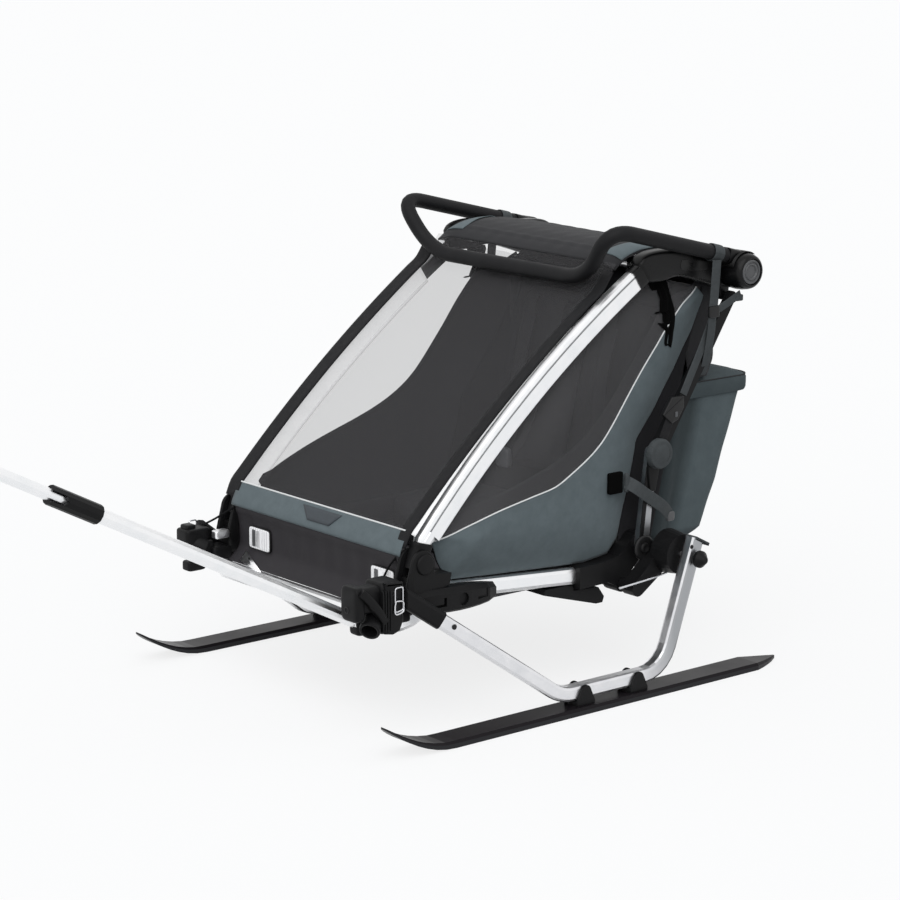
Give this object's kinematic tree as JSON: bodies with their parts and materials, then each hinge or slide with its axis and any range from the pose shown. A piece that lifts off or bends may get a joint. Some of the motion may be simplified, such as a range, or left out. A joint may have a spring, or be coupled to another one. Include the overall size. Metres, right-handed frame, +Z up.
{
  "type": "child bike trailer",
  "caption": "Two-seat child trailer on a ski set: folding frame with curved pillars, mesh front cover, push bar, cargo bag and tow arm.",
  "frame": {"origin": "on the ground under the middle of the whole trailer's box, tow arm included", "axes": "+Z up, -Y is the trailer's front where the tow arm points, +X is the trailer's left side"},
  "size_m": [0.8406, 2.1666, 0.8486],
  "materials": {
    "black_plastic": "matt black moulded plastic",
    "anodised_aluminium": "bright satin anodised aluminium",
    "ski_black": "smooth black ski laminate",
    "grip_foam": "soft charcoal foam",
    "blue_grey_fabric": "coated blue-grey woven polyester",
    "charcoal_fabric": "charcoal woven polyester",
    "dark_window_mesh": "fine dark window mesh",
    "plated_steel": "bright plated steel wire"
  },
  "bodies": {
    "carriage": {"axle_beam": "black_plastic", "axle_pin_left": "anodised_aluminium", "axle_pin_right": "anodised_aluminium", "cargo_bag": "blue_grey_fabric", "corner_casting_left": "black_plastic", "corner_casting_right": "black_plastic", "floor_tub": "charcoal_fabric", "foot_plate_left": "black_plastic", "foot_plate_right": "black_plastic", "front_panel": "black_plastic", "lower_frame": "anodised_aluminium", "rail_moulding_left": "black_plastic", "rail_moulding_right": "black_plastic", "receiver_left": "black_plastic", "receiver_right": "black_plastic", "seat_back": "charcoal_fabric", "seat_bench": "charcoal_fabric", "side_panel_left": "blue_grey_fabric", "side_panel_right": "blue_grey_fabric", "ski_frame_left": "anodised_aluminium", "ski_frame_right": "anodised_aluminium", "ski_frame_sleeve_left": "black_plastic", "ski_frame_sleeve_right": "black_plastic", "ski_left": "ski_black", "ski_right": "ski_black", "ski_saddle_front_left": "black_plastic", "ski_saddle_front_right": "black_plastic", "ski_saddle_rear_left": "black_plastic", "ski_saddle_rear_right": "black_plastic", "storage_bracket_left": "black_plastic", "storage_bracket_right": "black_plastic", "suspension_arm_left": "black_plastic", "suspension_arm_right": "black_plastic"},
    "upper_frame": {"pillar_left": "anodised_aluminium", "pillar_right": "anodised_aluminium", "hub_moulding_left": "black_plastic", "hub_moulding_right": "black_plastic", "roof_bow": "anodised_aluminium", "rear_cross_tube": "anodised_aluminium", "roof_canopy": "charcoal_fabric", "front_cover": "dark_window_mesh"},
    "handlebar": {"handlebar": "grip_foam", "handlebar_hub_left": "black_plastic", "handlebar_hub_right": "black_plastic"},
    "dial_left": {"hub_dial_left": "black_plastic"},
    "dial_right": {"hub_dial_right": "black_plastic"},
    "upright_upper_left": {"upright_upper_left": "black_plastic"},
    "upright_upper_right": {"upright_upper_right": "black_plastic"},
    "upright_lower_left": {"upright_lower_left": "anodised_aluminium"},
    "upright_lower_right": {"upright_lower_right": "anodised_aluminium"},
    "bail_left": {"receiver_bail_left": "plated_steel"},
    "bail_right": {"receiver_bail_right": "plated_steel"},
    "axle_button_left": {"axle_button_left": "black_plastic"},
    "axle_button_right": {"axle_button_right": "black_plastic"},
    "brake": {"brake_pedal": "black_plastic"},
    "tow_arm": {"tow_arm_rear": "anodised_aluminium", "arm_coupler": "black_plastic"},
    "tow_arm_front": {"tow_arm_front": "anodised_aluminium", "arm_end_fitting": "black_plastic"}
  },
  "joints": [
    {"name": "fold", "type": "hinge", "parent": "carriage", "child": "upper_frame", "pos_m": [0, 0.2393, 0.298], "axis": [-1, 0, 0], "range_deg": [0, 22], "deforming": ["seat_back", "side_panel_left", "side_panel_right", "cargo_bag"]},
    {"name": "handlebar_tilt", "type": "hinge", "parent": "upper_frame", "child": "handlebar", "pos_m": [0, 0.9793, 0.745], "axis": [-1, 0, 0], "range_deg": [0, 150]},
    {"name": "hub_dial_left_press", "type": "slide", "parent": "handlebar", "child": "dial_left", "axis": [-1, 0, 0], "range_m": [0, 0.004], "stiffness_N_per_m": 600},
    {"name": "upright_upper_left_hinge", "type": "hinge", "parent": "upper_frame", "child": "upright_upper_left", "pos_m": [0.3005, 0.9613, 0.698], "axis": [-1, 0, 0], "range_deg": [0, 38.34]},
    {"name": "upright_lower_left_hinge", "type": "hinge", "parent": "carriage", "child": "upright_lower_left", "pos_m": [0.2875, 0.7553, 0.252], "axis": [1, 0, 0], "range_deg": [0, 15.53]},
    {"name": "bail_left_swing", "type": "hinge", "parent": "carriage", "child": "bail_left", "pos_m": [0.3138, 0.1635, 0.275], "axis": [0, -1, 0], "range_deg": [0, 90]},
    {"name": "axle_button_left_press", "type": "slide", "parent": "carriage", "child": "axle_button_left", "axis": [-1, 0, 0], "range_m": [0, 0.004], "stiffness_N_per_m": 800},
    {"name": "hub_dial_right_press", "type": "slide", "parent": "handlebar", "child": "dial_right", "axis": [1, 0, 0], "range_m": [0, 0.004], "stiffness_N_per_m": 600},
    {"name": "upright_upper_right_hinge", "type": "hinge", "parent": "upper_frame", "child": "upright_upper_right", "pos_m": [-0.3005, 0.9613, 0.698], "axis": [-1, 0, 0], "range_deg": [0, 38.34]},
    {"name": "upright_lower_right_hinge", "type": "hinge", "parent": "carriage", "child": "upright_lower_right", "pos_m": [-0.2875, 0.7553, 0.252], "axis": [1, 0, 0], "range_deg": [0, 15.53]},
    {"name": "bail_right_swing", "type": "hinge", "parent": "carriage", "child": "bail_right", "pos_m": [-0.3138, 0.1635, 0.275], "axis": [0, 1, 0], "range_deg": [0, 90]},
    {"name": "axle_button_right_press", "type": "slide", "parent": "carriage", "child": "axle_button_right", "axis": [1, 0, 0], "range_m": [0, 0.004], "stiffness_N_per_m": 800},
    {"name": "brake_press", "type": "hinge", "parent": "carriage", "child": "brake", "pos_m": [0.12, 0.7378, 0.181], "axis": [-1, 0, 0], "range_deg": [0, 25]},
    {"name": "arm_pitch", "type": "hinge", "parent": "carriage", "child": "tow_arm", "pos_m": [0.239, 0.1293, 0.2037], "axis": [-1, 0, 0], "range_deg": [-20, 30]},
    {"name": "arm_extend", "type": "slide", "parent": "tow_arm", "child": "tow_arm_front", "axis": [0, -0.8868, 0.4622], "range_m": [0, 0.1]}
  ],
  "couplings": [
    {"joint": "upright_upper_left_hinge", "follows": "fold", "ratio": 1.7427},
    {"joint": "upright_lower_left_hinge", "follows": "fold", "ratio": 0.70577},
    {"joint": "upright_upper_right_hinge", "follows": "fold", "ratio": 1.7427},
    {"joint": "upright_lower_right_hinge", "follows": "fold", "ratio": 0.70577}
  ]
}
